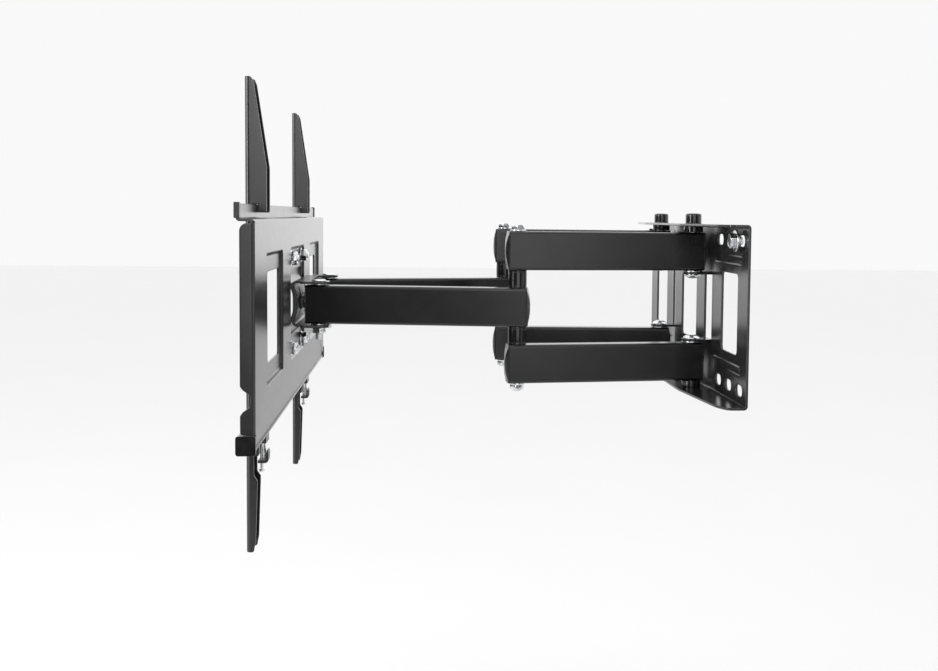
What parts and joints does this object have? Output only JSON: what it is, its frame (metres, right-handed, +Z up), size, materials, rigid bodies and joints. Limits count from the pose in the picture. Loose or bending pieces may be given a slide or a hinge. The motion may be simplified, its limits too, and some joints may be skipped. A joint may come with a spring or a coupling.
{
  "type": "full motion TV wall mount",
  "caption": "Full-motion wall mount: pressed wall plate, folding arms of rectangular tube, tilting head and a TV plate carrying sliding hook-on brackets.",
  "frame": {"origin": "centre of the wall screw slot pattern on the wall plate's back plane", "axes": "+X along the wall, +Y into the wall, +Z up; the TV side is -Y"},
  "size_m": [0.655, 0.4779, 0.444],
  "materials": {
    "black_paint": "satin black powder coat",
    "zinc_steel": "bright zinc plate",
    "black_plastic": "glossy black moulded plastic"
  },
  "bodies": {
    "wall": {"wall_plate": "black_paint", "wall_pivot_bolts": "zinc_steel", "wall_pivot_nuts": "zinc_steel", "wall_bolt_caps": "black_plastic", "wall_spacers": "black_plastic", "wall_washers": "zinc_steel", "lag_screws": "zinc_steel", "lag_washers": "zinc_steel"},
    "near_inner": {"near_upper_tube": "black_paint", "near_lower_tube": "black_paint", "near_inner_bushes": "black_plastic", "near_elbow_sleeves": "zinc_steel", "near_inner_caps": "black_plastic", "near_elbow_bolt": "zinc_steel", "near_elbow_nut": "zinc_steel", "near_elbow_washers": "zinc_steel", "near_elbow_spacers": "black_plastic"},
    "near_outer": {"near_outer_tube": "black_paint", "near_outer_bushes": "black_plastic", "near_outer_caps": "black_plastic"},
    "far_inner": {"far_upper_tube": "black_paint", "far_lower_tube": "black_paint", "far_inner_bushes": "black_plastic", "far_elbow_sleeves": "zinc_steel", "far_inner_caps": "black_plastic", "far_elbow_bolt": "zinc_steel", "far_elbow_nut": "zinc_steel", "far_elbow_washers": "zinc_steel", "far_elbow_spacers": "black_plastic"},
    "far_outer": {"far_outer_tube": "black_paint", "far_outer_bushes": "black_plastic", "far_outer_caps": "black_plastic"},
    "head": {"head_bracket": "black_paint", "head_bolts": "zinc_steel", "head_nuts": "zinc_steel", "head_washers": "zinc_steel"},
    "tv": {"tv_plate": "black_paint", "tilt_saddle": "black_paint", "tilt_studs": "zinc_steel", "tilt_clamp": "black_paint", "tilt_nuts": "zinc_steel", "saddle_bolts": "zinc_steel", "saddle_nuts": "zinc_steel", "saddle_washers": "zinc_steel", "rail_end_caps": "black_plastic", "lip_stops": "black_plastic"},
    "near_vesa": {"near_bracket": "black_paint", "near_lock_guide": "black_plastic"},
    "near_catch": {"near_lock_handle": "black_plastic", "near_lock_pins": "zinc_steel"},
    "far_vesa": {"far_bracket": "black_paint", "far_lock_guide": "black_plastic"},
    "far_catch": {"far_lock_handle": "black_plastic", "far_lock_pins": "zinc_steel"}
  },
  "joints": [
    {"name": "near_wall_pivot", "type": "hinge", "parent": "wall", "child": "near_inner", "pos_m": [0.082, -0.022, 0], "axis": [0, 0, 1], "range_deg": [-4.5, 66]},
    {"name": "near_elbow", "type": "hinge", "parent": "near_inner", "child": "near_outer", "pos_m": [0.09748, -0.21438, 0], "axis": [0, 0, 1], "range_deg": [-127.8, 9]},
    {"name": "near_head_pivot", "type": "hinge", "parent": "near_outer", "child": "head", "pos_m": [0.062, -0.4244, 0], "axis": [0, 0, 1], "range_deg": [-4.3, 61.9]},
    {"name": "far_wall_pivot", "type": "hinge", "parent": "wall", "child": "far_inner", "pos_m": [-0.082, -0.022, 0], "axis": [0, 0, 1], "range_deg": [-66, 4.5]},
    {"name": "far_elbow", "type": "hinge", "parent": "far_inner", "child": "far_outer", "pos_m": [-0.09748, -0.21438, 0], "axis": [0, 0, 1], "range_deg": [-9, 127.8]},
    {"name": "tilt", "type": "hinge", "parent": "head", "child": "tv", "pos_m": [0, -0.498, 0], "axis": [1, 0, 0], "range_deg": [-5, 12]},
    {"name": "near_bracket_slide", "type": "slide", "parent": "tv", "child": "near_vesa", "axis": [1, 0, 0], "range_m": [-0.132, 0.093]},
    {"name": "far_bracket_slide", "type": "slide", "parent": "tv", "child": "far_vesa", "axis": [1, 0, 0], "range_m": [-0.125, 0.097]},
    {"name": "near_catch_pull", "type": "slide", "parent": "near_vesa", "child": "near_catch", "axis": [0, 0, 1], "range_m": [-0.008, 0], "stiffness_N_per_m": 200, "springref_m": 0.005},
    {"name": "far_catch_pull", "type": "slide", "parent": "far_vesa", "child": "far_catch", "axis": [0, 0, 1], "range_m": [-0.008, 0], "stiffness_N_per_m": 200, "springref_m": 0.005}
  ],
  "couplings": [
    {"joint": "near_elbow", "follows": "near_wall_pivot", "ratio": -1.933},
    {"joint": "near_head_pivot", "follows": "near_wall_pivot", "ratio": 0.933},
    {"joint": "far_wall_pivot", "follows": "near_wall_pivot", "ratio": -1},
    {"joint": "far_elbow", "follows": "near_wall_pivot", "ratio": 1.933}
  ]
}
